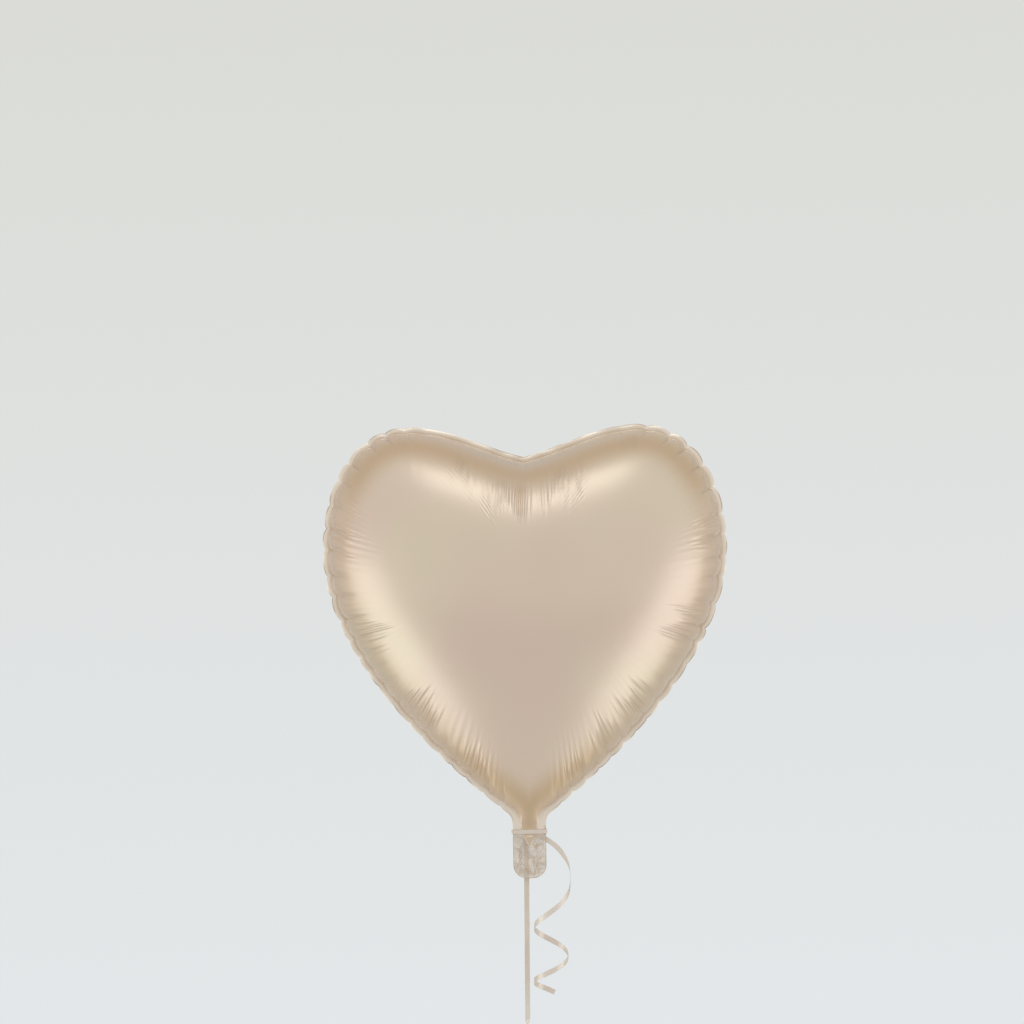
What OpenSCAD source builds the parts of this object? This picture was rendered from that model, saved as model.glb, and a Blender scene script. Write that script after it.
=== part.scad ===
// Heart-shaped foil balloon, filled, with its filling tail and a curling ribbon.
// The origin is at the tie round the neck, on the balloon's centre plane.
// +Z is up through the heart and -Y is the balloon's front.

/* [Envelope] */
// Width of the filled heart, over its weld margins
heart_w = 390; // [300:5:480]
// Height of the top of each lobe above the tie
lobe_z = 395; // [340:5:480]
// Height of the notch between the lobes above the tie
notch_z = 365; // [320:5:390]
// Height of the widest place above the tie
wide_z = 275; // [220:5:310]
// Distance from the centre line to the top of a lobe
lobe_x = 110; // [85:5:130]
// Thickness of the filled heart, front to back
body_d = 180; // [120:5:220]
// Width of the heat-sealed margin round the heart
weld_w = 6; // [4:0.5:8]
// Thickness of the metallised film
film_t = 0.05; // [0.04:0.01:0.1]

/* [Neck and tail] */
// Width of the neck and of the filling tail
neck_w = 32; // [26:1:40]
// Height of the straight part of the neck above the tie
neck_h = 8; // [7:0.5:12]
// Width of the curve where the neck opens into the heart
fillet_w = 6; // [4:0.5:9]
// Height of the curve where the neck opens into the heart
fillet_h = 14; // [10:1:20]
// Length of the filling tail below the tie
tail_l = 42; // [30:1:60]
// Radius of the tail's two lower corners
tail_r = 13; // [6:0.5:13]
// Half of the thickness of the loose channel in the tail
tail_puff = 0.4; // [0.3:0.1:0.8]
// Gap between the neck and the tail, where the film folds
fold_gap = 0.6; // [0.5:0.1:0.9]

/* [Self-sealing valve] */
// Width of the two valve strips
valve_w = 18; // [12:1:18]
// Length of the valve strips inside the heart
valve_l = 75; // [50:5:110]
// Thickness of one valve strip
valve_t = 0.05; // [0.04:0.01:0.1]

/* [Ribbon] */
// Width of the ribbon
ribbon_w = 5; // [4:0.5:6]
// Thickness of the ribbon
ribbon_t = 0.2; // [0.1:0.05:0.3]
// Height of the ribbon's turns round the neck
tie_h = 4; // [3:0.5:5]
// Thickness of the turns round the neck
tie_t = 0.6; // [0.4:0.1:1]
// Running gap between pieces that touch loosely
clearance = 0.3; // [0.2:0.05:0.5]
// Diameter of the knot behind the neck
knot_d = 5; // [4:0.5:5.5]
// Diameter of the knot that closes the hand loop
loop_knot_d = 6; // [5:0.5:7]
// Outer diameter of the curled end
curl_d = 38.6; // [30:0.2:40]
// Length of the curled end, down its own axis
curl_l = 118; // [90:2:150]

/* [Hidden] */

// Half sizes
half_w = heart_w / 2;
half_neck = neck_w / 2;
shoulder_x = half_neck + fillet_w;
shoulder_z = neck_h + fillet_h;
// Half width of the strip down the neck that the welds leave open
channel = 0.6 * half_neck;
channel_edge = channel + 0.01;

// The dome: the middle that it rises to, and how its section runs to the seam
dome_z = wide_z - 35;
dome_round = 0.8 * half_w;
dome_h = body_d / 2 - film_t;
rows = 13;
section_power = 2.2;
edge_power = 0.5;
contour_power = 1.5;
// How the dome thins towards the narrow neck
taper_power = 0.7;

// The ribbon's fixed places
tie_z = 0.6;
tie_in = film_t + valve_t + clearance;
tie_back = tie_in + tie_t;
knot_x = -3;
knot_y = tie_back + clearance + knot_d / 2;
knot_z = -1;
curl_x = 20.5;
curl_y = 6;
curl_top = -43.5;
curl_wall = ribbon_t;

// Routes that the ribbon lies along, down from the knot
leader_route = [[-3, 0, -4], [-3.1, 0, -14], [-3.2, 0, -28], [-3.3, 0, -42], [-3.5, 0, -57],
                [-3.6, 0, -72], [-3.7, 0, -87], [-3.8, 0, -102], [-4, 0, -117], [-4.1, 0, -132],
                [-4.2, 0, -147], [-4.3, 0, -160], [-4.4, 0, -174], [-4.5, 0, -188]];
loop_route = [[-3, 0, -194], [2, 0, -201], [9, 0, -211], [15, 0, -223], [18, 0, -236],
              [16, 0, -250], [9, 0, -261], [-4, 0, -266], [-17, 0, -261], [-24, 0, -250],
              [-26, 0, -236], [-23, 0, -223], [-17, 0, -211], [-10, 0, -201], [-6, 0, -194]];
lead_route = [[0, 0, -1], [6, 0, -1.5], [12, 0, -3.5], [20, 0, -8], [28, 0.5, -15],
              [34, 1, -23.5], [38, 1.5, -33], [39, 2, -43.5]];
loop_knot_at = [-4.5, knot_y, -191.3];

// Point at t along a cubic curve with four controls
function bezier(c, t) =
    pow(1 - t, 3) * c[0] + 3 * t * pow(1 - t, 2) * c[1]
    + 3 * t * t * (1 - t) * c[2] + pow(t, 3) * c[3];

// Points along a cubic curve in n steps, without its last point
function curve(c, n) = [for (i = [0 : n - 1]) bezier(c, i / n)];

function unit(v) = v / norm(v);
function mirrored(p) = [-p[0], p[1]];

// Right half of the heart's outer edge, from the notch down to the middle of the neck
lobe_rise = lobe_z - notch_z;
lobe_fall = lobe_z - wide_z;
flank_fall = wide_z - shoulder_z;
lobe_in = [[0, notch_z], [0.32 * lobe_x, notch_z + 0.27 * lobe_rise],
           [0.64 * lobe_x, lobe_z], [lobe_x, lobe_z]];
lobe_out = [[lobe_x, lobe_z], [lobe_x + 0.59 * (half_w - lobe_x), lobe_z],
            [half_w, wide_z + 0.6 * lobe_fall], [half_w, wide_z]];
flank = [[half_w, wide_z], [half_w, wide_z - 0.28 * flank_fall],
         [shoulder_x + 0.68 * (half_w - shoulder_x), shoulder_z + 0.37 * flank_fall],
         [shoulder_x, shoulder_z]];
neck_curve = [[shoulder_x, shoulder_z], [half_neck + 0.3 * fillet_w, shoulder_z - 0.22 * fillet_h],
              [half_neck, neck_h + 0.5 * fillet_h], [half_neck, neck_h]];
right_edge = concat(curve(lobe_in, 9), curve(lobe_out, 13), curve(flank, 17), curve(neck_curve, 4),
                    [[half_neck, neck_h], [half_neck, 0], [channel, 0]]);
last = len(right_edge) - 1;
edge = concat(right_edge, [[0, 0]], [for (i = [last : -1 : 1]) mirrored(right_edge[i])]);
cols = len(edge);

// Outward direction of the edge at point j
function outward(j) =
    let (a = edge[(j + cols - 1) % cols], b = edge[(j + 1) % cols])
    unit([a[1] - b[1], b[0] - a[0]]);
function inset(d) = [for (j = [0 : cols - 1]) edge[j] - d * outward(j)];
seam = inset(weld_w);
seam_outside = inset(weld_w - film_t);

// The films stand apart by a valve strip where the channel passes the neck
function lift(p) = abs(p[0]) <= channel_edge && p[1] <= weld_w + 1 ? valve_t : 0;

// Height of the dome at height z, at the share s of the way from its middle to the seam
function taper(z) = pow(sin(90 * min(1, z / dome_z)), taper_power);
function rise(s, z) = dome_h * taper(z) * pow(max(0, 1 - pow(s, section_power)), edge_power);

// Point of the film's inner face; contours grow rounder towards the middle
function inner_point(i, j) =
    let (s = sin(90 * i / rows), d = seam[j] - [0, dome_z], r = norm(d),
         reach = s * (dome_round + (r - dome_round) * pow(s, contour_power)),
         q = i == rows ? seam[j] : [0, dome_z] + reach * d / r,
         y = i == rows ? lift(q) : max(rise(s, q[1]), valve_t))
    [q[0], -y, q[1]];
inner = [for (i = [1 : rows]) [for (j = [0 : cols - 1]) inner_point(i, j)]];

// Direction out of the film at a point of the grid, for rows inside the seam
function skin_normal(i, j) =
    let (down = inner[i][j] - (i == 0 ? [0, -dome_h, dome_z] : inner[i - 1][j]),
         on = inner[i + 1][j] - inner[i][j],
         across = inner[i][(j + 1) % cols] - inner[i][(j + cols - 1) % cols])
    unit(cross(across, unit(down) + unit(on)));
function outer_point(i, j) =
    i == rows - 1
        ? [seam_outside[j][0], inner[i][j][1] - film_t, seam_outside[j][1]]
        : inner[i][j] + film_t * skin_normal(i, j);

// One film of the heart: a dome with its flat weld margin, as a closed skin
module panel() {
    face_points = rows * cols + cols + 1;
    outer_face = concat([[0, -dome_h - film_t, dome_z]],
                        [for (i = [0 : rows - 1]) for (j = [0 : cols - 1]) outer_point(i, j)],
                        [for (j = [0 : cols - 1]) [edge[j][0], -lift(edge[j]) - film_t, edge[j][1]]]);
    inner_face = concat([[0, -dome_h, dome_z]],
                        [for (i = [0 : rows - 1]) for (j = [0 : cols - 1]) inner[i][j]],
                        [for (j = [0 : cols - 1]) [edge[j][0], -lift(edge[j]), edge[j][1]]]);
    function at(i, j) = 1 + i * cols + j % cols;
    top = concat([for (j = [0 : cols - 1]) for (i = [0 : rows - 1])
                     each [[at(i, j), at(i + 1, j + 1), at(i + 1, j)],
                           [at(i, j), at(i, j + 1), at(i + 1, j + 1)]]],
                 [for (j = [0 : cols - 1]) [0, at(0, j + 1), at(0, j)]]);
    under = [for (f = top) [f[0] + face_points, f[2] + face_points, f[1] + face_points]];
    rim = [for (j = [0 : cols - 1])
              let (a = at(rows, j), b = at(rows, j + 1), c = a + face_points, d = b + face_points)
              each [[b, c, a], [b, d, c]]];
    polyhedron(points = concat(outer_face, inner_face), faces = concat(under, rim, top));
}

// Flat ribbon swept along a route that starts at the knot's depth
module ribbon_along(route) {
    sides = 8;
    n = len(route);
    function way(i) = unit(route[min(i + 1, n - 1)] - route[max(i - 1, 0)]);
    function ring(i) =
        let (wide = unit(cross(way(i), [0, 1, 0])), thick = cross(wide, way(i)))
        [for (k = [0 : sides - 1]) let (a = 360 * k / sides)
            route[i] + [0, knot_y, 0] + ribbon_w / 2 * cos(a) * wide + ribbon_t / 2 * sin(a) * thick];
    points = [for (i = [0 : n - 1]) each ring(i)];
    walls = [for (i = [0 : n - 2]) for (k = [0 : sides - 1])
                let (a = i * sides + k, b = i * sides + (k + 1) % sides)
                each [[a, a + sides, b], [b, a + sides, b + sides]]];
    first_cap = [for (k = [0 : sides - 1]) k];
    last_cap = [for (k = [sides - 1 : -1 : 0]) (n - 1) * sides + k];
    polyhedron(points = points, faces = concat(walls, [first_cap, last_cap]));
}

// Plan of the neck's flat tube grown by d on every side
module neck_plan(d) {
    half = half_neck + clearance;
    square([2 * half, 2 * d], center = true);
    for (side = [-1, 1]) translate([side * half, 0]) circle(r = d, $fn = 48);
}

// One film of the tail: welded flat at both sides, loose down the middle
module tail_film() {
    flat = half_neck;
    loose = channel - 2;
    section = [[-flat, 0], [-channel, 0], [-loose, -tail_puff], [loose, -tail_puff],
               [channel, 0], [flat, 0], [flat, -film_t], [channel, -film_t],
               [loose, -tail_puff - film_t], [-loose, -tail_puff - film_t],
               [-channel, -film_t], [-flat, -film_t]];
    low = -fold_gap - tail_l;
    intersection() {
        translate([0, 0, low]) linear_extrude(height = tail_l) polygon(section);
        rotate([90, 0, 0]) linear_extrude(height = 4 * tail_puff, center = true) union() {
            translate([-flat, low + tail_r]) square([2 * flat, tail_l - tail_r]);
            translate([-flat + tail_r, low]) square([2 * (flat - tail_r), tail_r + 1]);
            for (side = [-1, 1])
                translate([side * (flat - tail_r), low + tail_r]) circle(r = tail_r, $fn = 48);
        }
    }
}

module front_panel() {
    color([0.80, 0.72, 0.64]) panel();
}

module back_panel() {
    color([0.78, 0.70, 0.61]) mirror([0, 1, 0]) panel();
}

// The valve strips lie face to face between the films, from the tie up into the heart
module valve_front() {
    color([0.90, 0.90, 0.88, 0.5])
        translate([-valve_w / 2, -valve_t, tie_z]) cube([valve_w, valve_t, valve_l]);
}

module valve_back() {
    color([0.86, 0.88, 0.88, 0.5])
        translate([-valve_w / 2, 0, tie_z]) cube([valve_w, valve_t, valve_l]);
}

module tail_front() {
    color([0.85, 0.79, 0.71, 0.8]) tail_film();
}

module tail_back() {
    color([0.82, 0.75, 0.66, 0.8]) mirror([0, 1, 0]) tail_film();
}

module ribbon_tie() {
    color([0.88, 0.81, 0.72])
        translate([0, 0, tie_z]) linear_extrude(height = tie_h) difference() {
            neck_plan(tie_back);
            neck_plan(tie_in);
        }
}

module ribbon_knot() {
    color([0.84, 0.76, 0.67]) translate([knot_x, knot_y, knot_z]) sphere(d = knot_d, $fn = 48);
}

module ribbon_leader() {
    color([0.85, 0.79, 0.72]) ribbon_along(leader_route);
}

module hand_loop() {
    color([0.85, 0.79, 0.72]) ribbon_along(loop_route);
}

module loop_knot() {
    color([0.84, 0.76, 0.67]) translate(loop_knot_at) sphere(d = loop_knot_d, $fn = 48);
}

module curl_lead() {
    color([0.87, 0.82, 0.75]) ribbon_along(lead_route);
}

// Outer shape of the curled end, as an open tube
module ribbon_curl() {
    color([0.87, 0.82, 0.75])
        translate([curl_x, curl_y, curl_top - curl_l]) difference() {
            cylinder(h = curl_l, d = curl_d, $fn = 64);
            translate([0, 0, -1]) cylinder(h = curl_l + 2, d = curl_d - 2 * curl_wall, $fn = 64);
        }
}

front_panel();
back_panel();
valve_front();
valve_back();
tail_front();
tail_back();
ribbon_tie();
ribbon_knot();
ribbon_leader();
hand_loop();
loop_knot();
curl_lead();
ribbon_curl();
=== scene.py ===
import bpy
import math
import random
import numpy as np
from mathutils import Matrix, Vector, kdtree, noise


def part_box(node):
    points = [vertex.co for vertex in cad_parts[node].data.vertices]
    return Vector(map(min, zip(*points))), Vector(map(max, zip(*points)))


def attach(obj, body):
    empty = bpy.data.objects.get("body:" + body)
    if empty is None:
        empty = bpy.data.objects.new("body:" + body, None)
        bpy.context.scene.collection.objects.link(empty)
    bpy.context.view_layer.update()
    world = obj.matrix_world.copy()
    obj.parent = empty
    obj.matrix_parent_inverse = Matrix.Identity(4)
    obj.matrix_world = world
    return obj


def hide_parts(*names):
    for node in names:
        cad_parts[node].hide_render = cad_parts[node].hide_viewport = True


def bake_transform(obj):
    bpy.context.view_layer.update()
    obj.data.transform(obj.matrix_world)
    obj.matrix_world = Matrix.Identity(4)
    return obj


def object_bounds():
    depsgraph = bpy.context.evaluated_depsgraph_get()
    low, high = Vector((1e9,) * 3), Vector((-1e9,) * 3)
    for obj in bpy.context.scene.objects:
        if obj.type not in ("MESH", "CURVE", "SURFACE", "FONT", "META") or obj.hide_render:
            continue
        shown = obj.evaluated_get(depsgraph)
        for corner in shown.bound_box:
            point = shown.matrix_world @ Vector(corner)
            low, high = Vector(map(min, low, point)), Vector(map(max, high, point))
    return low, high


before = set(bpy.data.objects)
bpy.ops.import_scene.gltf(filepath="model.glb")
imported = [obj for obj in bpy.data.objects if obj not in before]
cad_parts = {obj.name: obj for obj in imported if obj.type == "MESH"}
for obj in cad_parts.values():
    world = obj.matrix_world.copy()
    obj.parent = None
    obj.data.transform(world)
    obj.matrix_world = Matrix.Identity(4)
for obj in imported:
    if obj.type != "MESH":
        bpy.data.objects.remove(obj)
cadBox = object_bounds()
print("frame loaded:", len(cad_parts), "parts")

mm = 0.001


def linearColor(red, green, blue):
    # 0-255 screen colour to the linear colour a shader takes
    def one(v):
        v = v / 255
        return v / 12.92 if v <= 0.04045 else ((v + 0.055) / 1.055) ** 2.4
    return (one(red), one(green), one(blue), 1)


def smooth(t):
    t = np.clip(t, 0, 1)
    return t * t * (3 - 2 * t)


def newMesh(name, verts, faces, material, masks=None):
    mesh = bpy.data.meshes.new(name)
    mesh.from_pydata([tuple(v) for v in verts], [], faces)
    mesh.update()
    mesh.shade_smooth()
    for key, values in (masks or {}).items():
        layer = mesh.attributes.new(key, "FLOAT", "POINT")
        layer.data.foreach_set("value", np.asarray(values, np.float32))
    mesh.materials.append(material)
    piece = bpy.data.objects.new(name, mesh)
    bpy.context.collection.objects.link(piece)
    return piece


def smoothPath(points, step):
    # evenly spaced points on a Catmull-Rom curve through given points
    p = np.array(points, float)
    p = np.vstack([2 * p[0] - p[1], p, 2 * p[-1] - p[-2]])
    out = []
    for a, b, c, d in zip(p, p[1:], p[2:], p[3:]):
        for t in np.linspace(0, 1, 12, endpoint=False):
            out.append(0.5 * (2 * b + (c - a) * t + (2 * a - 5 * b + 4 * c - d) * t * t
                              + (3 * b - a - 3 * c + d) * t ** 3))
    out.append(p[-2])
    out = np.array(out)
    run = np.concatenate([[0], np.cumsum(np.linalg.norm(np.diff(out, axis=0), axis=1))])
    at = np.linspace(0, run[-1], max(3, int(run[-1] / step)))
    return np.stack([np.interp(at, run, out[:, k]) for k in range(3)], axis=1)


def pathLength(path):
    return float(np.linalg.norm(np.diff(path, axis=0), axis=1).sum())


cameraSet = dict(lens=109, distance=3.0, aimX=-0.012, aimZ=0.312, roll=0.9)


def makeCamera(c):
    data = bpy.data.cameras.new("camera")
    data.lens = c["lens"]
    data.sensor_width = 36
    camera = bpy.data.objects.new("camera", data)
    camera.location = (c["aimX"], -c["distance"], c["aimZ"])
    camera.rotation_euler = (math.radians(90), math.radians(c["roll"]), 0)
    bpy.context.collection.objects.link(camera)
    bpy.context.scene.camera = camera


makeCamera(cameraSet)
bpy.context.scene.view_settings.view_transform = "Standard"
print("camera set")


def link(tree, a, b):
    tree.links.new(a, b)


def newGroup(name, inputs, outputs):
    group = bpy.data.node_groups.new(name, "ShaderNodeTree")
    for label, kind, value in inputs:
        socket = group.interface.new_socket(label, in_out="INPUT", socket_type=kind)
        socket.default_value = value
    for label, kind in outputs:
        group.interface.new_socket(label, in_out="OUTPUT", socket_type=kind)
    return group, group.nodes.new("NodeGroupInput"), group.nodes.new("NodeGroupOutput")


def makeFoilGrain():
    # fine crinkle of thin film: soft dents with sharper little creases over them
    group, inside, out = newGroup(
        "foilGrain",
        [("Dents", "NodeSocketFloat", 60), ("Creases", "NodeSocketFloat", 220)],
        [("Height", "NodeSocketFloat"), ("Mask", "NodeSocketFloat")])
    place = group.nodes.new("ShaderNodeTexCoord")
    dents = group.nodes.new("ShaderNodeTexNoise")
    dents.inputs["Detail"].default_value = 3
    creases = group.nodes.new("ShaderNodeTexNoise")
    creases.noise_type = "RIDGED_MULTIFRACTAL"
    creases.inputs["Detail"].default_value = 2
    both = group.nodes.new("ShaderNodeMath")
    both.operation = "MULTIPLY_ADD"
    both.inputs[1].default_value = 0.12
    link(group, place.outputs["Object"], dents.inputs["Vector"])
    link(group, place.outputs["Object"], creases.inputs["Vector"])
    link(group, inside.outputs["Dents"], dents.inputs["Scale"])
    link(group, inside.outputs["Creases"], creases.inputs["Scale"])
    link(group, creases.outputs["Fac"], both.inputs[0])
    link(group, dents.outputs["Fac"], both.inputs[2])
    link(group, both.outputs[0], out.inputs["Height"])
    link(group, dents.outputs["Fac"], out.inputs["Mask"])
    return group


def makePearlTint():
    # slow drift between two tints of the pearl ink
    group, inside, out = newGroup(
        "pearlTint",
        [("First", "NodeSocketColor", (1, 1, 1, 1)), ("Second", "NodeSocketColor", (1, 1, 1, 1)),
         ("Size", "NodeSocketFloat", 6)],
        [("Color", "NodeSocketColor")])
    place = group.nodes.new("ShaderNodeTexCoord")
    drift = group.nodes.new("ShaderNodeTexNoise")
    drift.inputs["Detail"].default_value = 1
    spread = group.nodes.new("ShaderNodeMapRange")
    spread.inputs["From Min"].default_value = 0.35
    spread.inputs["From Max"].default_value = 0.65
    mix = group.nodes.new("ShaderNodeMix")
    mix.data_type = "RGBA"
    link(group, place.outputs["Object"], drift.inputs["Vector"])
    link(group, inside.outputs["Size"], drift.inputs["Scale"])
    link(group, drift.outputs["Fac"], spread.inputs["Value"])
    link(group, spread.outputs["Result"], mix.inputs["Factor"])
    link(group, inside.outputs["First"], mix.inputs["A"])
    link(group, inside.outputs["Second"], mix.inputs["B"])
    link(group, mix.outputs["Result"], out.inputs["Color"])
    return group


foilGrain = makeFoilGrain()
pearlTint = makePearlTint()


def newMaterial(name):
    material = bpy.data.materials.new(name)
    material.use_nodes = True
    return material, material.node_tree, material.node_tree.nodes["Principled BSDF"]


def placeGroup(tree, group, **values):
    node = tree.nodes.new("ShaderNodeGroup")
    node.node_tree = group
    for key, value in values.items():
        node.inputs[key].default_value = value
    return node


def maskNode(tree, name):
    node = tree.nodes.new("ShaderNodeAttribute")
    node.attribute_name = name
    return node.outputs["Fac"]


def mixColor(tree, factor, first, second):
    mix = tree.nodes.new("ShaderNodeMix")
    mix.data_type = "RGBA"
    for label, value in (("Factor", factor), ("A", first), ("B", second)):
        if isinstance(value, (tuple, float)):
            mix.inputs[label].default_value = value
        else:
            link(tree, value, mix.inputs[label])
    return mix.outputs["Result"]


def addGrain(tree, shader, dents, creases, strength, depth):
    grain = placeGroup(tree, foilGrain, Dents=dents, Creases=creases)
    bump = tree.nodes.new("ShaderNodeBump")
    bump.inputs["Strength"].default_value = strength
    bump.inputs["Distance"].default_value = depth
    link(tree, grain.outputs["Height"], bump.inputs["Height"])
    link(tree, bump.outputs["Normal"], shader.inputs["Normal"])
    return grain


def roughFrom(tree, shader, mask, low, high):
    rough = tree.nodes.new("ShaderNodeMapRange")
    rough.inputs["To Min"].default_value = low
    rough.inputs["To Max"].default_value = high
    link(tree, mask, rough.inputs["Value"])
    link(tree, rough.outputs["Result"], shader.inputs["Roughness"])


# deep is the colour of the painted shade inside the rim
foilLook = dict(
    rose=linearColor(219, 194, 172), straw=linearColor(219, 201, 173), deep=linearColor(198, 168, 130),
    rim=linearColor(234, 218, 196), cutEdge=linearColor(150, 122, 92),
    drift=7.0, grain=(55.0, 240.0, 0.12, 0.0004),  # dents, creases, strength and depth
    metal=0.36, rough=(0.30, 0.36), coat=0.40, coatRough=0.22)


def makeFoil(name, look):
    material, tree, shader = newMaterial(name)
    tint = placeGroup(tree, pearlTint, First=look["rose"], Second=look["straw"], Size=look["drift"])
    # painted shade: the deep tone is mixed in over a band inside the rim
    shaded = mixColor(tree, maskNode(tree, "paintedRimShade"), tint.outputs["Color"], look["deep"])
    rimmed = mixColor(tree, maskNode(tree, "weld"), shaded, look["rim"])
    edged = mixColor(tree, maskNode(tree, "cut"), rimmed, look["cutEdge"])
    link(tree, edged, shader.inputs["Base Color"])
    grain = addGrain(tree, shader, *look["grain"])
    roughFrom(tree, shader, grain.outputs["Mask"], *look["rough"])
    shader.inputs["Metallic"].default_value = look["metal"]
    shader.inputs["Coat Weight"].default_value = look["coat"]
    shader.inputs["Coat Roughness"].default_value = look["coatRough"]
    return material


# crease is the colour of the painted shade along the creases and round the edge
tailLook = dict(clear=linearColor(232, 218, 199), creaseShadeAndEdge=linearColor(192, 166, 138),
                pouch=linearColor(203, 182, 155), ink=linearColor(214, 198, 178), drift=90.0,
                grain=(180.0, 700.0, 0.35, 0.0003), rough=(0.18, 0.34), metal=0.25)


def makeTailFoil(name, look):
    # thin and half clear where no gas holds the films apart
    material, tree, shader = newMaterial(name)
    tint = placeGroup(tree, pearlTint, First=look["clear"], Second=look["ink"], Size=look["drift"])
    # painted shade along the creases, and a darker line round the edge
    creaseShaded = mixColor(tree, maskNode(tree, "creaseShadeAndEdge"), tint.outputs["Color"], look["creaseShadeAndEdge"])
    filled = mixColor(tree, maskNode(tree, "pouch"), creaseShaded, look["pouch"])
    link(tree, filled, shader.inputs["Base Color"])
    grain = addGrain(tree, shader, *look["grain"])
    roughFrom(tree, shader, grain.outputs["Mask"], *look["rough"])
    link(tree, maskNode(tree, "cover"), shader.inputs["Alpha"])
    shader.inputs["Metallic"].default_value = look["metal"]
    return material


# dark is both the second tint and the colour of the painted shade in the rib grooves
ribbonLook = dict(light=linearColor(236, 225, 210), dark=linearColor(212, 196, 176), drift=14.0,
                  grain=(120.0, 400.0, 0.03, 0.0001), rough=(0.24, 0.34), metal=0.2)


def makeRibbonFilm(name, look):
    material, tree, shader = newMaterial(name)
    tint = placeGroup(tree, pearlTint, First=look["light"], Second=look["dark"], Size=look["drift"])
    # painted shade: the rib grooves are darkened
    grooveShaded = mixColor(tree, maskNode(tree, "grooveShade"), tint.outputs["Color"], look["dark"])
    link(tree, grooveShaded, shader.inputs["Base Color"])
    grain = addGrain(tree, shader, *look["grain"])
    roughFrom(tree, shader, grain.outputs["Mask"], *look["rough"])
    shader.inputs["Metallic"].default_value = look["metal"]
    return material


valveLook = dict(light=linearColor(236, 238, 238), dark=linearColor(222, 226, 226), drift=80.0,
                 grain=(200.0, 600.0, 0.2, 0.0002), rough=(0.12, 0.25), cover=0.5)


def makeValveFilm(name, look):
    material, tree, shader = newMaterial(name)
    tint = placeGroup(tree, pearlTint, First=look["light"], Second=look["dark"], Size=look["drift"])
    link(tree, tint.outputs["Color"], shader.inputs["Base Color"])
    grain = addGrain(tree, shader, *look["grain"])
    roughFrom(tree, shader, grain.outputs["Mask"], *look["rough"])
    shader.inputs["Alpha"].default_value = look["cover"]
    return material


frontFoil = makeFoil("champagneFoil", foilLook)
backFoil = makeFoil("champagneFoilBack", foilLook)
tailFoil = makeTailFoil("tailFoil", tailLook)
ribbonFilm = makeRibbonFilm("curlingRibbon", ribbonLook)
valveFilm = makeValveFilm("clearValveFilm", valveLook)
print("materials ready")


# every stretch of the ribbon is one flat strip with fine ribs along it
ribbonSet = dict(width=5 * mm, thick=0.22 * mm, ribs=7, ribDepth=0.05 * mm, step=0.9 * mm)


def ribbonStrip(name, path, faceDir, width, r=ribbonSet):
    # sweeps a ribbed flat section along path, faceDir is the way its flat side looks at each point
    n = len(path)
    way = np.gradient(path, axis=0)
    way /= np.linalg.norm(way, axis=1)[:, None]
    side = np.cross(way, faceDir)
    side /= np.linalg.norm(side, axis=1)[:, None]
    up = np.cross(side, way)
    across = np.linspace(-1, 1, 4 * r["ribs"] + 1)
    wave = np.cos(across * math.pi * r["ribs"])
    halfThick = r["thick"] / 2 * np.sqrt(np.clip(1.02 - across ** 6, 0, 1))
    topSide = halfThick + r["ribDepth"] * wave * (1 - across ** 4)
    u = np.concatenate([across, across[::-1]])
    v = np.concatenate([topSide, -halfThick])
    # painted shade in the rib grooves on the top face; the underside gets a flat 0.3 share of the darker tone
    grooveShade = np.concatenate([0.5 - 0.5 * wave, np.zeros(len(across)) + 0.3])
    m = len(u)
    verts = (path[:, None, :] + u[None, :, None] * width / 2 * side[:, None, :]
             + v[None, :, None] * up[:, None, :]).reshape(-1, 3)
    faces = [(i * m + k, i * m + (k + 1) % m, (i + 1) * m + (k + 1) % m, (i + 1) * m + k)
             for i in range(n - 1) for k in range(m)]
    faces.append(tuple(range(m - 1, -1, -1)))
    faces.append(tuple((n - 1) * m + k for k in range(m)))
    return newMesh(name, verts, faces, ribbonFilm, {"grooveShade": np.tile(grooveShade, n)})


knotLow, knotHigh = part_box("ribbon_knot")
knotMid = (knotLow + knotHigh) / 2
leaderX = [-3, -3.1, -3.2, -3.3, -3.5, -3.6, -3.7, -3.8, -4, -4.1, -4.2, -4.3, -4.4, -4.5]
leaderZ = [-4, -14, -28, -42, -57, -72, -87, -102, -117, -132, -147, -160, -174, -188]
loopRoute = [(-3, -194), (2, -201), (9, -211), (15, -223), (18, -236), (16, -250), (9, -261), (-4, -266),
             (-17, -261), (-24, -250), (-26, -236), (-23, -223), (-17, -211), (-10, -201), (-6, -194)]
leadRoute = [(0, 0, -1), (6, 0, -1.5), (12, 0, -3.5), (20, 0, -8), (28, 0.5, -15),
             (34, 1, -23.5), (38, 1.5, -33), (39, 2, -43.5)]
curlSet = dict(turns=1.8, radius=(17.6, 15.6), middleX=(21.4, 17.6), drop=113, gather=0.68)


def makeLeader():
    # down from the knot, once round the hand loop and back into the loop knot
    route = [(x * mm, knotMid.y, z * mm) for x, z in zip(leaderX, leaderZ)]
    route += [(x * mm, knotMid.y, z * mm) for x, z in loopRoute]
    path = smoothPath(route, ribbonSet["step"])
    way = np.gradient(path, axis=0)
    inPlane = np.cross(way, (0, 1, 0))
    inPlane /= np.linalg.norm(inPlane, axis=1)[:, None]
    twist = smooth((-path[:, 2] - 0.176) / 0.012)[:, None]
    early = np.arange(len(path))[:, None] < len(path) // 2
    toward = np.where(early, twist, 1.0)
    faceDir = (1 - toward) * np.array((0, -1, 0)) + toward * inPlane
    leader = ribbonStrip("leaderRibbon", path, faceDir, ribbonSet["width"])
    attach(leader, "leader")
    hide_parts("ribbon_leader", "hand_loop")
    return leader, path


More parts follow.
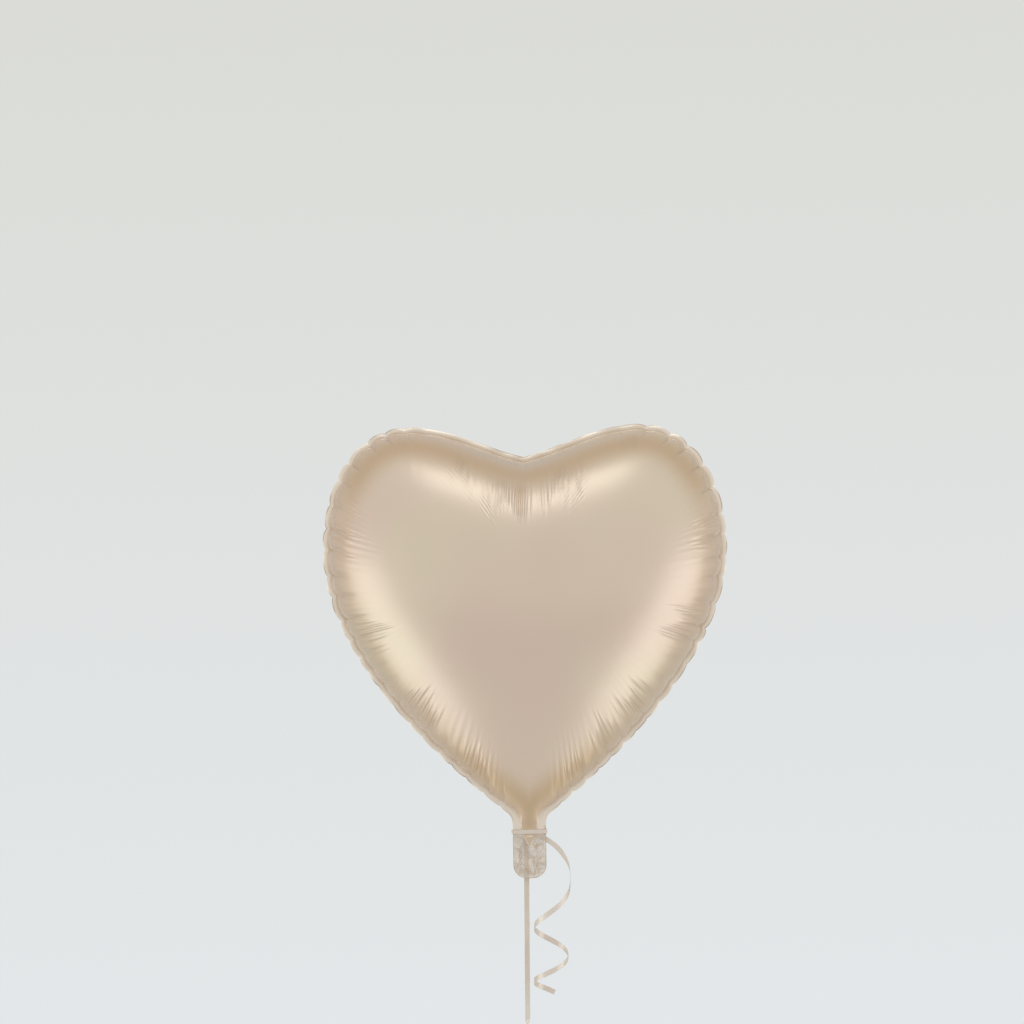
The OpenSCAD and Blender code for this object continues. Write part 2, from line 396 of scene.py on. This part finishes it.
def makeCurl():
    # the lead swings out of the knot, then the ribbon winds down in a tightening helix
    c = curlSet
    lead = [(x * mm, knotMid.y + y * mm, z * mm) for x, y, z in leadRoute]
    startZ = lead[-1][2]
    helix = []
    count = int(24 * c["turns"])
    for i in range(1, count + 1):
        t = i / count
        angle = 2 * math.pi * c["turns"] * t
        radius = (c["radius"][0] + (c["radius"][1] - c["radius"][0]) * t) * mm
        middle = (c["middleX"][0] + (c["middleX"][1] - c["middleX"][0]) * t) * mm
        helix.append((middle + radius * math.cos(angle), knotMid.y + 2 * mm - radius * math.sin(angle),
                      startZ - c["drop"] * mm * t ** c["gather"]))
    path = smoothPath(lead + helix, ribbonSet["step"])
    lengths = np.concatenate([[0], np.cumsum(np.linalg.norm(np.diff(path, axis=0), axis=1))])
    leadLength = pathLength(smoothPath(lead, ribbonSet["step"]))
    ends = [startZ - c["drop"] * mm, startZ]
    middleX = np.interp(path[:, 2], ends, [c["middleX"][1] * mm, c["middleX"][0] * mm])
    radial = np.stack([path[:, 0] - middleX, path[:, 1] - knotMid.y - 2 * mm, np.zeros(len(path))], axis=1)
    radial /= np.linalg.norm(radial, axis=1)[:, None]
    toward = smooth((lengths / leadLength - 0.35) / 0.65)[:, None]
    faceDir = (1 - toward) * np.array((0.15, -1, 0.3)) + toward * radial
    curl = ribbonStrip("curledRibbon", path, faceDir, ribbonSet["width"])
    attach(curl, "curl")
    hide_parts("curl_lead", "ribbon_curl")
    return curl, path


def knotPath(middle, size, turns):
    # a trefoil wound tight, the shape an overhand knot draws up into
    t = np.linspace(0, 2 * math.pi * 0.97, 26 * turns)
    x = np.sin(t) + 1.6 * np.sin(2 * t)
    z = np.cos(t) - 1.6 * np.cos(2 * t)
    y = -1.1 * np.sin(3 * t)
    line = np.stack([x, y, z], axis=1)
    line *= size / np.abs(line).max()
    return smoothPath(line + np.array(middle), 0.25 * mm)


def makeKnot(name, node, body):
    low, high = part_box(node)
    middle = (low + high) / 2
    path = knotPath(middle, (high.x - low.x) * 0.34, 3)
    faceDir = path - np.array(middle)
    faceDir /= np.linalg.norm(faceDir, axis=1)[:, None]
    knot = ribbonStrip(name, path, faceDir + np.array((0, 1e-3, 0)), (high.x - low.x) * 0.42)
    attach(knot, body)
    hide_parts(node)
    return knot


leaderRibbon, leaderPath = makeLeader()
curledRibbon, curlPath = makeCurl()
tieKnot = makeKnot("tieKnot", "ribbon_knot", "knot")
loopKnot = makeKnot("loopKnot", "loop_knot", "leader")
print("ribbons made, leader", round(pathLength(leaderPath), 3), "curl", round(pathLength(curlPath), 3))


# the heart is two films with a scalloped weld, puckered where the gas pulls the rim in
heartLow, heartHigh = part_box("front_panel")
heartSet = dict(
    halfWidth=heartHigh.x, top=heartHigh.z, domeHigh=-heartLow.y, notch=0.365, wide=0.275, lobe=0.110,
    neckHalf=0.016, neckTop=0.008, filletWide=0.006, filletHigh=0.014,
    weld=6 * mm, neckWeld=3 * mm, neckThin=0.42 * mm, tieTop=4.8 * mm, openRun=20 * mm, bead=0.9 * mm,
    domeRound=0.8, sectionPower=2.2, sectionBlend=0.09, contourPower=1.5, taperPower=0.7,
    columns=2048, rows=44, marginRows=5)
scallopSet = dict(
    seed=11, notchFree=0.085, lobeEnd=0.36, lobePitch=(0.019, 0.029), flankPitch=(0.015, 0.024),
    lobeDepth=3.1 * mm, flankDepth=1.5 * mm, pillow=1.5 * mm, pillowReach=9 * mm, rimReach=9 * mm)
# clusters of fine wrinkles: where along the seam from the notch (left is minus) and how wide, in metres,
# then in millimetres the pitch, how far inside the seam they start, how long they run and their height
wrinkleSet = [
    dict(at=-0.014, wide=0.026, pitch=4.6, start=24, length=46, high=1.0),
    dict(at=0.036, wide=0.026, pitch=6.0, start=20, length=44, high=1.05),
    dict(at=-0.056, wide=0.015, pitch=6.0, start=16, length=36, high=0.8),
    dict(at=-0.118, wide=0.006, pitch=4.4, start=4, length=24, high=0.50),
    dict(at=0.104, wide=0.011, pitch=5.4, start=6, length=26, high=0.50),
    dict(at=-0.205, wide=0.022, pitch=5.8, start=16, length=16, high=0.40),
    dict(at=-0.262, wide=0.020, pitch=6.2, start=6, length=24, high=0.60),
    dict(at=0.262, wide=0.022, pitch=6.0, start=6, length=28, high=0.60),
    dict(at=-0.366, wide=0.030, pitch=7.6, start=10, length=42, high=0.70),
    dict(at=0.366, wide=0.030, pitch=7.6, start=10, length=42, high=0.70),
    dict(at=-0.468, wide=0.028, pitch=7.8, start=8, length=34, high=0.75),
    dict(at=0.462, wide=0.026, pitch=7.4, start=8, length=34, high=0.75),
    dict(at=0.512, wide=0.020, pitch=6.6, start=8, length=34, high=0.55),
    dict(at=-0.548, wide=0.018, pitch=6.0, start=8, length=28, high=0.50),
    dict(at=0.560, wide=0.012, pitch=5.0, start=8, length=22, high=0.45),
]


def bezier(a, b, c, d, count):
    t = np.linspace(0, 1, count, endpoint=False)[:, None]
    a, b, c, d = (np.array(p, float) for p in (a, b, c, d))
    return (1 - t) ** 3 * a + 3 * t * (1 - t) ** 2 * b + 3 * t * t * (1 - t) * c + t ** 3 * d


def halfOutline(h):
    # right half of the cut edge, from the notch to the middle of the neck
    w, top, notch, wide, lobe = h["halfWidth"], h["top"], h["notch"], h["wide"], h["lobe"]
    shoulderX, shoulderZ = h["neckHalf"] + h["filletWide"], h["neckTop"] + h["filletHigh"]
    fall = wide - shoulderZ
    parts = [
        bezier((0, notch), (0.32 * lobe, notch + 0.27 * (top - notch)), (0.64 * lobe, top), (lobe, top), 200),
        bezier((lobe, top), (lobe + 0.59 * (w - lobe), top), (w, wide + 0.6 * (top - wide)), (w, wide), 300),
        bezier((w, wide), (w, wide - 0.28 * fall),
               (shoulderX + 0.68 * (w - shoulderX), shoulderZ + 0.37 * fall), (shoulderX, shoulderZ), 400),
        bezier((shoulderX, shoulderZ),
               (h["neckHalf"] + 0.3 * h["filletWide"], shoulderZ - 0.22 * h["filletHigh"]),
               (h["neckHalf"], h["neckTop"] + 0.5 * h["filletHigh"]), (h["neckHalf"], h["neckTop"]), 100),
        np.array([(h["neckHalf"], h["neckTop"]), (h["neckHalf"], 0), (0, 0)], float)]
    return np.vstack(parts)


def resample(line, count):
    run = np.concatenate([[0], np.cumsum(np.linalg.norm(np.diff(line, axis=0), axis=1))])
    at = np.linspace(0, run[-1], count)
    return np.stack([np.interp(at, run, line[:, k]) for k in range(2)], axis=1), at


def scallopRun(s, rng, along, total):
    # 0 at each cusp and 1 at the crest of each bump, and how deep the bumps are there
    cusps = [0.0]
    while cusps[-1] < total:
        low, high = s["lobePitch"] if cusps[-1] < s["lobeEnd"] else s["flankPitch"]
        cusps.append(cusps[-1] + rng.uniform(low, high))
    cusps = np.array(cusps)
    k = np.clip(np.searchsorted(cusps, along, side="right") - 1, 0, len(cusps) - 2)
    t = (along - cusps[k]) / (cusps[k + 1] - cusps[k])
    arch = np.power(np.clip(4 * t * (1 - t), 0, 1), 0.55)
    size = np.array([rng.uniform(0.65, 1.1) for _ in cusps])[k]
    lobe = smooth((along - s["notchFree"]) / 0.05) * (1 - smooth((along - s["lobeEnd"]) / 0.04))
    flank = smooth((along - s["lobeEnd"]) / 0.04) * (1 - smooth((along - (total - 0.055)) / 0.03))
    depth = size * (lobe * s["lobeDepth"] + flank * s["flankDepth"])
    return arch, depth + 0.25 * mm * (1 - smooth((along - (total - 0.05)) / 0.03))


def layHeart(h, s):
    # shared by both films: the scalloped cut edge, the seam inside it and the place along it
    half = h["columns"] // 2
    right, along = resample(halfOutline(h), half + 1)
    total = along[-1]
    rng = random.Random(s["seed"])
    arches, depths = zip(*[scallopRun(s, rng, along, total) for _ in range(2)])
    edge = np.vstack([right, (right * (-1, 1))[half - 1:0:-1]])
    place = np.concatenate([along, -along[half - 1:0:-1]])
    arch = np.concatenate([arches[0], arches[1][half - 1:0:-1]])
    depth = np.concatenate([depths[0], depths[1][half - 1:0:-1]])
    ahead, behind = np.roll(edge, -9, axis=0), np.roll(edge, 9, axis=0)
    out = np.stack([behind[:, 1] - ahead[:, 1], ahead[:, 0] - behind[:, 0]], axis=1)
    out /= np.linalg.norm(out, axis=1)[:, None]
    # the neck's sides are straight down to where it is cut across
    wall = (edge[:, 1] < h["neckTop"]) & (edge[:, 1] > 1e-5)
    out[wall] = np.stack([np.sign(edge[wall, 0]), np.zeros(wall.sum())], axis=1)
    weld = h["weld"] + h["neckWeld"] * (1 - smooth(edge[:, 1] / 0.03))
    seam = edge - out * weld[:, None]
    # where the neck is cut across, the seam stays at the mouth of the open channel
    cut = edge[:, 1] < 1e-5
    mouth = h["neckHalf"] - h["weld"] - h["neckWeld"]
    seam[cut] = np.stack([np.clip(edge[cut, 0], -mouth, mouth), edge[cut, 1]], axis=1)
    seam[:, 1] = np.maximum(seam[:, 1], 0)
    return edge, seam, out, place, arch, depth


edgeLine, seamLine, rimOut, seamPlace, scallopArch, scallopDepth = layHeart(heartSet, scallopSet)


def seamHalfWidth(z):
    # half width of the gas-filled part at a height below the widest place
    half = len(seamLine) // 2
    side = seamLine[:half + 1]
    below = side[:, 1] < heartSet["wide"]
    order = np.argsort(side[below][:, 1])
    return np.interp(z, side[below][order][:, 1], side[below][order][:, 0])


def wrinkleLift(place, inside, rng, sign):
    lift = np.zeros_like(inside)
    for w in wrinkleSet:
        at = w["at"] if sign < 0 else -w["at"] + rng.uniform(-0.02, 0.02)
        pitch, start, length = w["pitch"] * mm, w["start"] * mm, w["length"] * mm
        u = place - at - rng.uniform(-0.12, 0.12) * inside
        window = np.clip(1 - (u / w["wide"]) ** 2, 0, 1) ** 0.7
        runOut = length * (0.75 + 0.25 * np.cos(u / w["wide"] * 5 + rng.uniform(0, 6)))
        rise = smooth((inside - start * 0.5) / (start * 0.7))
        fall = 1 - smooth((inside - start - 0.4 * runOut) / (0.6 * runOut))
        phase = 2 * math.pi * u / pitch + 1.2 * np.sin(u / pitch * 1.7 + rng.uniform(0, 6))
        ridge = np.cos(phase) + 0.2 * np.cos(2 * phase + 0.5)
        lift += w["high"] * mm * window * (rise * fall) * ridge
    return lift


def rimPuckers(place, inside, rng):
    # faint pleats all round, shorter and deeper at some places than at others
    lift = np.zeros_like(inside)
    for pitch, high, reach in ((6.7, 0.16, 22), (9.3, 0.20, 30), (4.1, 0.08, 14)):
        phase = 2 * math.pi * place / (pitch * mm) + 2.5 * np.sin(place * 61 + rng.uniform(0, 6))
        swell = 0.5 + 0.5 * np.sin(place * 37 + rng.uniform(0, 6)) * np.sin(place * 83 + rng.uniform(0, 6))
        fade = np.exp(-(inside / (reach * mm)) ** 2)
        lift += high * mm * swell * np.cos(phase) * smooth(inside / (4 * mm)) * fade
    return lift


def domeHeight(h, middle, xz, share):
    # above the middle the section follows the spokes, below it runs straight across between the seams
    z = xz[:, 1]
    taper = np.sin(np.radians(90 * np.clip(z / middle[1], 0, 1))) ** h["taperPower"]
    upper = taper * max(0, 1 - share ** h["sectionPower"]) ** 0.5
    shares = np.linspace(0, 1, 200)
    width = np.maximum(seamHalfWidth(z), 1 * mm)
    part = np.clip(np.abs(xz[:, 0]) / width, 0, 1)
    even = np.interp(part, shares * (0.82 + 0.18 * shares ** h["contourPower"]), shares)
    down = np.clip((middle[1] - z) / middle[1], 0, 1)
    evenDown = np.interp(down, shares * (0.7 + 0.3 * shares ** h["contourPower"]), shares)
    crest = taper * np.clip(1 - evenDown ** h["sectionPower"], 0, 1) ** 0.5
    lower = crest * np.clip(1 - even ** h["sectionPower"], 0, 1) ** 0.5
    high = h["domeHigh"] * (upper + (lower - upper) * smooth((middle[1] - z) / h["sectionBlend"]))
    # squeezed thin where the tie goes round it
    thin = h["neckThin"] * np.clip(1 - part ** 8, 0, 1) ** 0.5
    opened = smooth((z - h["tieTop"]) / h["openRun"])
    return thin + (high - thin) * opened


def layGrid(h, s):
    # rows run from the middle of the dome to the seam, then over the weld to the cut edge;
    # the spokes are evenly spread in the middle, so they don't bunch above the neck
    middle = np.array((0, h["wide"] - 0.035))
    turn = np.linspace(0, 2 * math.pi, h["columns"], endpoint=False)
    even = h["domeRound"] * h["halfWidth"] * np.stack([np.sin(turn), np.cos(turn)], axis=1)
    rowsXz, rowsY = [], []
    for i in range(h["rows"] + 1):
        share = math.sin(math.radians(90 * i / h["rows"]))
        row = middle + share * (even + (seamLine - middle - even) * share ** h["contourPower"])
        rowsXz.append(row)
        rowsY.append(domeHeight(h, middle, row, share))
    xz, y = np.array(rowsXz), np.array(rowsY)
    # how far inside the seam each point lies
    tree = kdtree.KDTree(len(seamLine))
    for k, (x, z) in enumerate(seamLine):
        tree.insert((x, z, 0), k)
    tree.balance()
    inside = np.array([tree.find((x, z, 0))[2] for x, z in xz.reshape(-1, 2)]).reshape(y.shape)
    # under the notch the wrinkles hang straight down, elsewhere they follow the spokes
    byNotch = smooth((0.26 - np.abs(seamPlace)) / 0.12)
    place = seamPlace * (1 - byNotch) + xz[..., 0] * 1.04 * byNotch
    offset = rimOut * (scallopDepth * (scallopArch - 0.75))[:, None]
    xz = xz + offset * np.exp(-(inside / s["rimReach"]) ** 1.5)[..., None]
    for i in range(1, h["marginRows"] + 1):
        t = i / h["marginRows"]
        row = seamLine + (edgeLine - seamLine) * t + offset
        bead = h["bead"] * math.sin(math.pi * min(t * 1.02, 1)) ** 0.8 * smooth(edgeLine[:, 1] / 0.03)
        xz = np.concatenate([xz, row[None]])
        y = np.concatenate([y, bead[None]])
        inside = np.concatenate([inside, np.full((1, len(bead)), -h["weld"] * t)])
        place = np.concatenate([place, seamPlace[None]])
    return xz, y, inside, place


def filmGrid(h, s, sign):
    xz, y, inside, place = grid
    points = np.stack([xz[..., 0], sign * y, xz[..., 1]], axis=-1)
    across = np.roll(points, -1, axis=1) - np.roll(points, 1, axis=1)
    down = np.gradient(points, axis=0)
    normal = np.cross(across, down)
    normal /= np.maximum(np.linalg.norm(normal, axis=2), 1e-12)[..., None]
    normal *= np.where(normal[..., 1:2] * sign < 0, -1, 1)
    rng = random.Random(3 if sign < 0 else 8)
    deep = np.maximum(inside, 0)
    fromNeck = np.abs(seamPlace).max() - np.abs(seamPlace)
    neckFade = smooth((xz[..., 1] - 0.012) / 0.03) * smooth((fromNeck - 0.034) / 0.02)
    close = s["pillow"] * 0.6 * (deep / (4 * mm)) * np.exp(1 - deep / (4 * mm))
    wide = s["pillow"] * 0.5 * smooth(deep / (6 * mm)) * np.exp(-(deep / s["pillowReach"]) ** 2)
    lift = (close + wide) * (scallopArch - 0.6) * (scallopDepth / s["lobeDepth"])
    lift = lift + wrinkleLift(place, deep, rng, sign) + rimPuckers(place, deep, rng)
    lift = lift * neckFade * (inside > 0)
    points = points + normal * lift[..., None]
    # the weld ripples a little out of plane, the same way on both films
    ripple = 0.5 * mm * np.sin(place * 210 + 2 * np.sin(place * 47)) * np.clip(-inside / h["weld"], 0, 1)
    points[..., 1] += ripple * smooth(xz[..., 1] / 0.03)
    return points, inside


grid = layGrid(heartSet, scallopSet)


def ringStep(i):
    # fewer columns towards the middle of the dome
    return 16 if i < 5 else 8 if i < 8 else 4 if i < 11 else 2 if i < 14 else 1


def makeFilm(name, node, sign, material, h, s):
    points, inside = filmGrid(h, s, sign)
    columns = h["columns"]
    verts, starts, steps, near = [points[0, 0]], [0], [0], [inside[0, 0]]
    for i in range(1, len(points)):
        step = ringStep(i)
        starts.append(len(verts))
        steps.append(step)
        verts.extend(points[i, ::step])
        near.extend(inside[i, ::step])
    faces = []
    count = columns // steps[1]
    faces += [(0, starts[1] + k, starts[1] + (k + 1) % count) for k in range(count)]
    for i in range(1, len(points) - 1):
        a, b = starts[i], starts[i + 1]
        n, m = columns // steps[i], columns // steps[i + 1]
        if n == m:
            faces += [(a + k, b + k, b + (k + 1) % n, a + (k + 1) % n) for k in range(n)]
        else:
            for k in range(n):
                left, mid, right = b + 2 * k, b + 2 * k + 1, b + (2 * k + 2) % m
                faces += [(a + k, left, mid), (a + k, mid, a + (k + 1) % n), (a + (k + 1) % n, mid, right)]
    if sign > 0:
        faces = [f[::-1] for f in faces]
    verts, near = np.array(verts), np.array(near)
    weld = smooth(-near / (1.2 * mm) + 0.4)
    cutNoise = np.array([noise.noise(Vector(v) * 42) for v in verts])
    cut = smooth((-near - h["weld"] + 1.4 * mm) / (1.2 * mm)) * smooth(cutNoise * 2.2 + 0.45)
    # painted shade: a deeper tan band just inside the rim, most of all along the tops and by the neck
    shadeByHeight = 0.45 + 0.5 * smooth((verts[:, 2] - 0.31) / 0.04) + 0.5 * smooth((0.11 - verts[:, 2]) / 0.05)
    shadeBand = np.exp(-((near - 12 * mm) / (14 * mm)) ** 2) * smooth(near / (1.5 * mm) + 0.5)
    paintedRimShade = np.clip(shadeByHeight, 0, 1) * shadeBand
    film = newMesh(name, verts, faces, material,
                   {"weld": weld, "cut": cut, "paintedRimShade": paintedRimShade})
    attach(film, "balloon")
    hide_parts(node)
    return film


frontFilm = makeFilm("frontFilm", "front_panel", -1, frontFoil, heartSet, scallopSet)
backFilm = makeFilm("backFilm", "back_panel", 1, backFoil, heartSet, scallopSet)
print("heart films made:", len(frontFilm.data.polygons) + len(backFilm.data.polygons), "faces")


# the filling tail is two loose films below the tie, crinkled and half clear
tailLow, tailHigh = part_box("tail_front")
tailSet = dict(half=tailHigh.x, top=0.0, bottom=tailLow.z, corner=13 * mm, narrowest=3 * mm, weld=4 * mm,
               pouchHalf=7 * mm, pouchDeep=13 * mm, pouchHigh=1.3 * mm, apart=0.12 * mm, crinkle=0.38 * mm,
               cell=125, columns=110, rows=130, seed=5)


def creaseHeight(x, z, cell, shift):
    # distance to the nearest cell wall: sharp creases round flat facets
    bend = noise.noise_vector(Vector((x * cell, z * cell, shift)) * 0.7) * 0.9
    d = noise.voronoi(Vector((x * cell, z * cell * 0.55, shift)) + bend)[0]
    return d[1] - d[0]


def makeTail(name, node, sign, t):
    noise.seed_set(t["seed"])  # the creases fall in the same places at every run
    verts, creaseShadeAndEdge, pouch, cover = [], [], [], []
    for i in range(t["rows"] + 1):
        z = t["top"] + (t["bottom"] - t["top"]) * i / t["rows"]
        rise = max(0, t["corner"] - (z - t["bottom"]))
        half = t["half"] - (t["corner"] - math.sqrt(max(0, t["corner"] ** 2 - rise ** 2)))
        half = max(half, t["narrowest"])
        for j in range(t["columns"] + 1):
            x = half * math.sin(math.pi / 2 * (2 * j / t["columns"] - 1))
            edge = min(half - abs(x), z - t["bottom"])
            wall = creaseHeight(x, z, t["cell"], t["seed"] + sign)
            line = max(0, 1 - wall / 0.16)
            free = float(smooth(edge / (5 * mm))) * float(smooth(-z / (5 * mm)))
            vHalf = t["pouchHalf"] * max(0, 1 + z / t["pouchDeep"])
            bag = max(0, 1 - (x / vHalf) ** 2) if vHalf > 0 else 0
            y = t["apart"] + t["crinkle"] * free * (min(wall, 0.5) * 1.6 + 0.4)
            y += t["pouchHigh"] * math.sqrt(bag) * float(smooth(-z / (4 * mm)))
            verts.append((x, sign * y, z))
            welded = 1 - float(smooth((edge - t["weld"]) / (1 * mm)))
            rimLine = 1 - float(smooth(edge / (0.9 * mm)))
            # painted shade along the creases, plus a darker line along the edge
            creaseShadeAndEdge.append(min(1, 0.85 * line * (0.35 + 0.65 * free) + 0.9 * rimLine))
            full = float(smooth(bag * 3))
            pouch.append(full)
            cover.append(min(1, 0.62 + 0.3 * line + 0.38 * full + 0.3 * rimLine - 0.08 * welded))
    n = t["columns"] + 1
    faces = [(i * n + j, (i + 1) * n + j, (i + 1) * n + j + 1, i * n + j + 1)
             for i in range(t["rows"]) for j in range(t["columns"])]
    if sign > 0:
        faces = [f[::-1] for f in faces]
    masks = {"creaseShadeAndEdge": creaseShadeAndEdge, "pouch": pouch, "cover": cover}
    tail = newMesh(name, verts, faces, tailFoil, masks)
    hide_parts(node)
    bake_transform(tail)
    return tail


tailFront = makeTail("tailFrontFilm", "tail_front", -1, tailSet)
tailBack = makeTail("tailBackFilm", "tail_back", 1, tailSet)
print("tail made")


# three turns of the ribbon wound round the flat neck
tieLow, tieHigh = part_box("ribbon_tie")
tieSet = dict(turns=3, sag=0.25 * mm, wrap=0.6 * mm, bend=0.3)


def makeTie(t):
    inner = tieHigh.y - t["wrap"]
    outer = tieHigh.y
    flat = tieHigh.x - tieHigh.y
    mid = (tieLow.z + tieHigh.z) / 2
    corner = np.linspace(t["bend"], math.pi - t["bend"], 8)
    path = []
    for turn in range(t["turns"]):
        grow = inner + (outer - inner) * (turn + 0.5) / t["turns"]
        ring = [(x, -grow) for x in np.linspace(-flat, flat, 12)]
        ring += [(flat + grow * math.sin(a), -grow * math.cos(a)) for a in corner]
        ring += [(x, grow) for x in np.linspace(flat, -flat, 12)]
        ring += [(-flat - grow * math.sin(a), grow * math.cos(a)) for a in corner]
        for k, (x, y) in enumerate(ring):
            path.append((x, y, mid + t["sag"] * math.sin(2 * math.pi * k / len(ring) + 2 * turn)))
    path = smoothPath(path, 0.5 * mm)
    away = np.stack([path[:, 0] - np.clip(path[:, 0], -flat, flat), path[:, 1], np.zeros(len(path))], axis=1)
    away /= np.linalg.norm(away, axis=1)[:, None]
    tie = ribbonStrip("neckTie", path, away, tieHigh.z - tieLow.z - 2 * t["sag"])
    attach(tie, "balloon")
    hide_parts("ribbon_tie")


valveSet = dict(narrow=0.9, flat=0.4)


def makeValveStrip(name, node, v):
    # a strip of clear film inside the neck, pressed a little flatter than its part
    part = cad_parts[node].data
    verts = [(p.co.x * v["narrow"], p.co.y * v["flat"], p.co.z) for p in part.vertices]
    strip = newMesh(name, verts, [tuple(f.vertices) for f in part.polygons], valveFilm)
    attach(strip, "balloon")
    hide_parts(node)


makeTie(tieSet)
makeValveStrip("frontValveStrip", "valve_front", valveSet)
makeValveStrip("backValveStrip", "valve_back", valveSet)
print("tie and valve done")


studio = dict(floorZ=cadBox[0][2] - 1.35, wallY=3.8, bend=0.7, halfWide=8.0, frontY=-5.0, top=3.2,
              low=linearColor(227, 231, 233), high=linearColor(219, 220, 215), lowZ=-0.75, highZ=1.42,
              base=linearColor(226, 227, 226), air=(0.93, 0.95, 1.0, 1), airStrength=0.78,
              lampColor=(0.90, 0.96, 1.0), aimZ=0.2)
lamps = [
    dict(name="leftBox", at=(-1.55, -0.48, -0.62), size=(1.15, 2.1), watts=10.5),
    dict(name="rightBox", at=(1.55, -0.48, -0.62), size=(1.15, 2.1), watts=10.5),
    dict(name="topBox", at=(0, -1.25, 1.95), size=(2.0, 0.9), watts=9.5),
]


def makeStudio(s):
    line = [(s["frontY"], s["floorZ"])]
    line += [(s["wallY"] - s["bend"] + s["bend"] * math.sin(a), s["floorZ"] + s["bend"] * (1 - math.cos(a)))
             for a in np.linspace(0, math.pi / 2, 24)]
    line.append((s["wallY"], s["top"]))
    verts = [(x, y, z) for y, z in line for x in (-s["halfWide"], s["halfWide"])]
    faces = [(2 * i, 2 * i + 1, 2 * i + 3, 2 * i + 2) for i in range(len(line) - 1)]
    mesh = bpy.data.meshes.new("studioSweep")
    mesh.from_pydata(verts, [], faces)
    mesh.shade_smooth()
    sweep = bpy.data.objects.new("studioSweep", mesh)
    bpy.context.collection.objects.link(sweep)
    material, tree, shader = newMaterial("studioPaper")
    shader.inputs["Base Color"].default_value = s["base"]
    shader.inputs["Roughness"].default_value = 0.9
    place = tree.nodes.new("ShaderNodeTexCoord")
    split = tree.nodes.new("ShaderNodeSeparateXYZ")
    rise = tree.nodes.new("ShaderNodeMapRange")
    rise.inputs["From Min"].default_value = s["lowZ"]
    rise.inputs["From Max"].default_value = s["highZ"]
    link(tree, place.outputs["Object"], split.inputs["Vector"])
    link(tree, split.outputs["Z"], rise.inputs["Value"])
    tone = mixColor(tree, rise.outputs["Result"], s["low"], s["high"])
    glow = tree.nodes.new("ShaderNodeEmission")
    link(tree, tone, glow.inputs["Color"])
    path = tree.nodes.new("ShaderNodeLightPath")
    seen = tree.nodes.new("ShaderNodeMath")
    seen.use_clamp = True
    link(tree, path.outputs["Is Camera Ray"], seen.inputs[0])
    link(tree, path.outputs["Is Transmission Ray"], seen.inputs[1])
    # only the upright part glows, so that the floor keeps its shadow
    upright = tree.nodes.new("ShaderNodeMapRange")
    upright.inputs["From Min"].default_value = s["floorZ"] + 0.02
    upright.inputs["From Max"].default_value = s["floorZ"] + 0.25
    link(tree, split.outputs["Z"], upright.inputs["Value"])
    both = tree.nodes.new("ShaderNodeMath")
    both.operation = "MULTIPLY"
    link(tree, seen.outputs[0], both.inputs[0])
    link(tree, upright.outputs["Result"], both.inputs[1])
    mix = tree.nodes.new("ShaderNodeMixShader")
    link(tree, both.outputs[0], mix.inputs[0])
    link(tree, shader.outputs[0], mix.inputs[1])
    link(tree, glow.outputs[0], mix.inputs[2])
    link(tree, mix.outputs[0], tree.nodes["Material Output"].inputs["Surface"])
    mesh.materials.append(material)


def makeLamps(lampList, s):
    for lamp in lampList:
        data = bpy.data.lights.new(lamp["name"], "AREA")
        data.shape = "RECTANGLE"
        data.size, data.size_y = lamp["size"]
        data.energy = lamp["watts"]
        data.color = s["lampColor"]
        box = bpy.data.objects.new(lamp["name"], data)
        box.location = lamp["at"]
        aim = Vector((0, 0, s["aimZ"])) - Vector(lamp["at"])
        box.rotation_euler = aim.to_track_quat("-Z", "Y").to_euler()
        bpy.context.collection.objects.link(box)
    world = bpy.data.worlds.new("studioAir")
    world.use_nodes = True
    air = world.node_tree.nodes["Background"]
    air.inputs["Color"].default_value = s["air"]
    air.inputs["Strength"].default_value = s["airStrength"]
    bpy.context.scene.world = world


makeStudio(studio)
makeLamps(lamps, studio)
print("studio ready")
